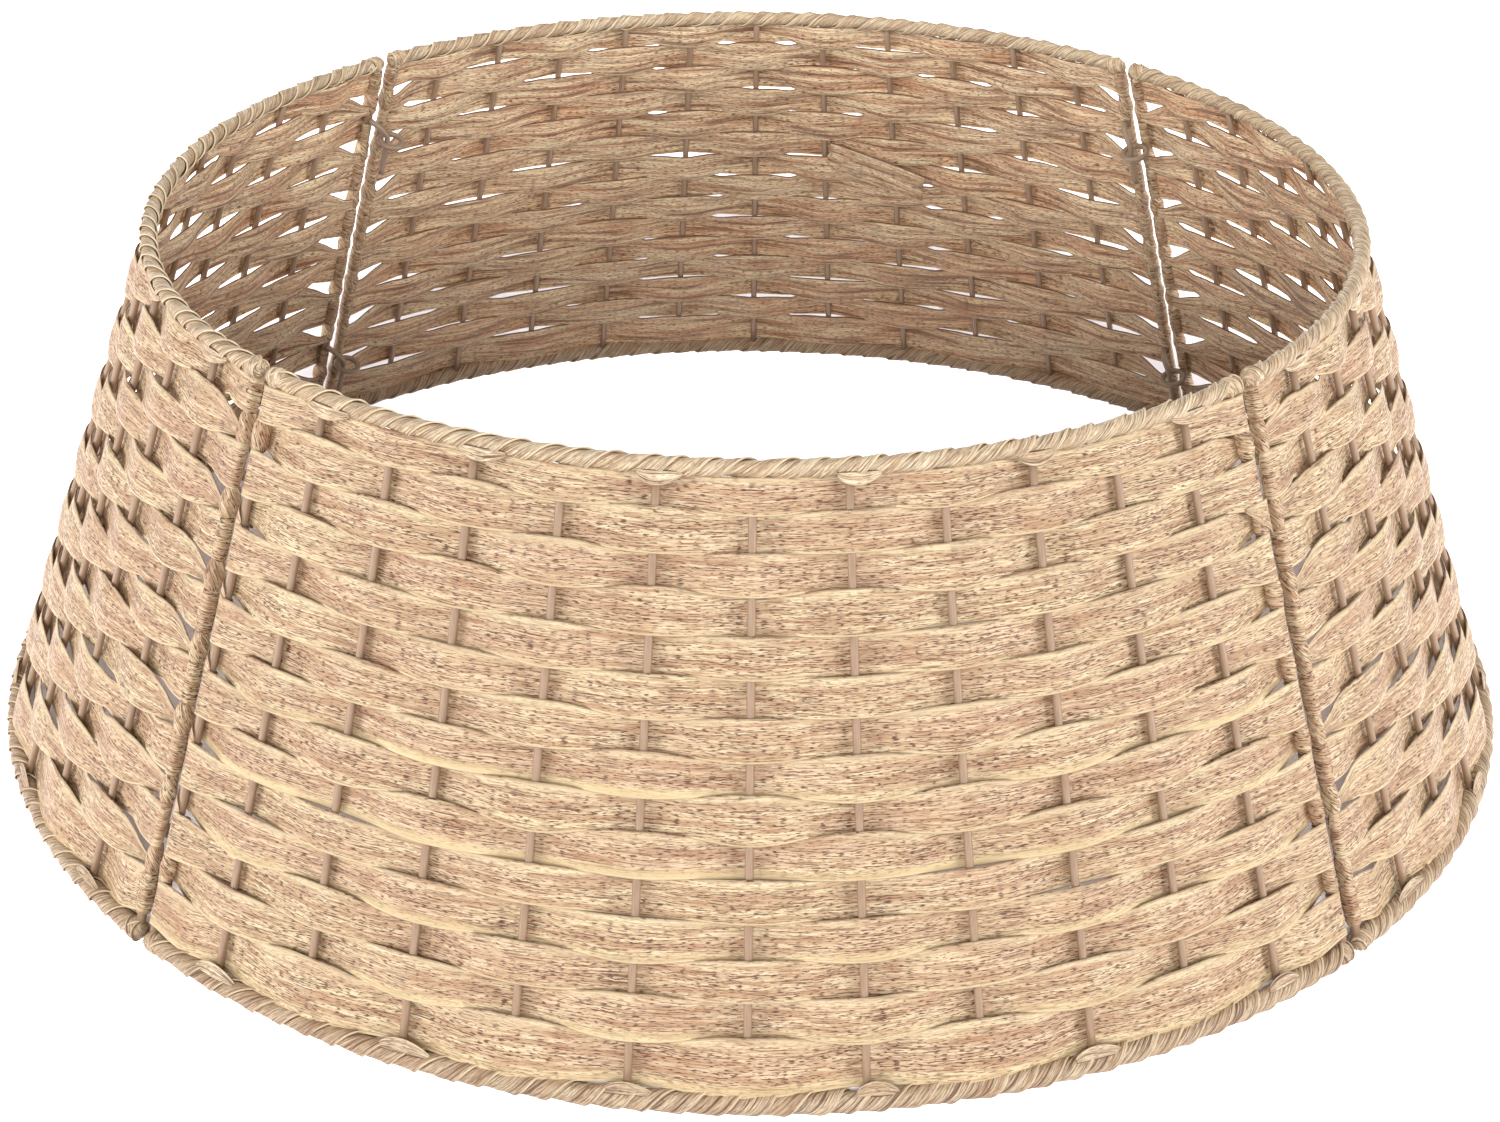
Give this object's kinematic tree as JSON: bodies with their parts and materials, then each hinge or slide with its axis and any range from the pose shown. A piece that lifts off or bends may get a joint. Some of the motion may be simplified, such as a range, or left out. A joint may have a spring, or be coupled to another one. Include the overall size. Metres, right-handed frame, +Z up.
{
  "type": "christmas tree collar",
  "caption": "Tapered ring of woven panels on wire frames, hinged by wire eyes and pins, that hides a tree stand.",
  "frame": {"origin": "on the floor, at the middle of the ring", "axes": "+Z up, the front panel faces -Y, +X to its right"},
  "size_m": [0.711, 0.711, 0.236],
  "materials": {
    "weave_strip": "flat printed strip, straw with brown flecks and streaks",
    "rim_binding": "the same strip, creased and wound slantwise",
    "frame_wire": "tan-brown paint on steel wire",
    "hinge_wire": "tan-brown paint on steel wire"
  },
  "bodies": {
    "front_panel": {"front_wire_frame": "frame_wire", "front_top_rim_binding": "rim_binding", "front_bottom_rim_binding": "rim_binding", "front_upper_weave": "weave_strip", "front_middle_weave": "weave_strip", "front_lower_weave": "weave_strip", "front_upper_eye": "hinge_wire", "front_lower_eye": "hinge_wire", "front_upper_pin": "hinge_wire", "front_lower_pin": "hinge_wire"},
    "right_panel": {"right_wire_frame": "frame_wire", "right_top_rim_binding": "rim_binding", "right_bottom_rim_binding": "rim_binding", "right_upper_weave": "weave_strip", "right_middle_weave": "weave_strip", "right_lower_weave": "weave_strip", "right_upper_eye": "hinge_wire", "right_lower_eye": "hinge_wire", "right_upper_pin": "hinge_wire", "right_lower_pin": "hinge_wire"},
    "back_panel": {"back_wire_frame": "frame_wire", "back_top_rim_binding": "rim_binding", "back_bottom_rim_binding": "rim_binding", "back_upper_weave": "weave_strip", "back_middle_weave": "weave_strip", "back_lower_weave": "weave_strip", "back_upper_eye": "hinge_wire", "back_lower_eye": "hinge_wire", "back_upper_pin": "hinge_wire", "back_lower_pin": "hinge_wire"},
    "left_panel": {"left_wire_frame": "frame_wire", "left_top_rim_binding": "rim_binding", "left_bottom_rim_binding": "rim_binding", "left_upper_weave": "weave_strip", "left_middle_weave": "weave_strip", "left_lower_weave": "weave_strip", "left_upper_eye": "hinge_wire", "left_lower_eye": "hinge_wire", "left_upper_pin": "hinge_wire", "left_lower_pin": "hinge_wire"}
  },
  "joints": [
    {"name": "back_left_hinge", "type": "hinge", "parent": "back_panel", "child": "left_panel", "pos_m": [-0.23969, 0.24294, 0.00102], "axis": [-0.2388, 0.2388, -0.9413], "range_deg": [0, 15]},
    {"name": "front_left_hinge", "type": "hinge", "parent": "left_panel", "child": "front_panel", "pos_m": [-0.24294, -0.23969, 0.00102], "axis": [-0.2388, -0.2388, -0.9413], "range_deg": [0, 15]},
    {"name": "back_right_hinge", "type": "hinge", "parent": "back_panel", "child": "right_panel", "pos_m": [0.24294, 0.23969, 0.00102], "axis": [-0.2388, -0.2388, 0.9413], "range_deg": [0, 15]}
  ]
}
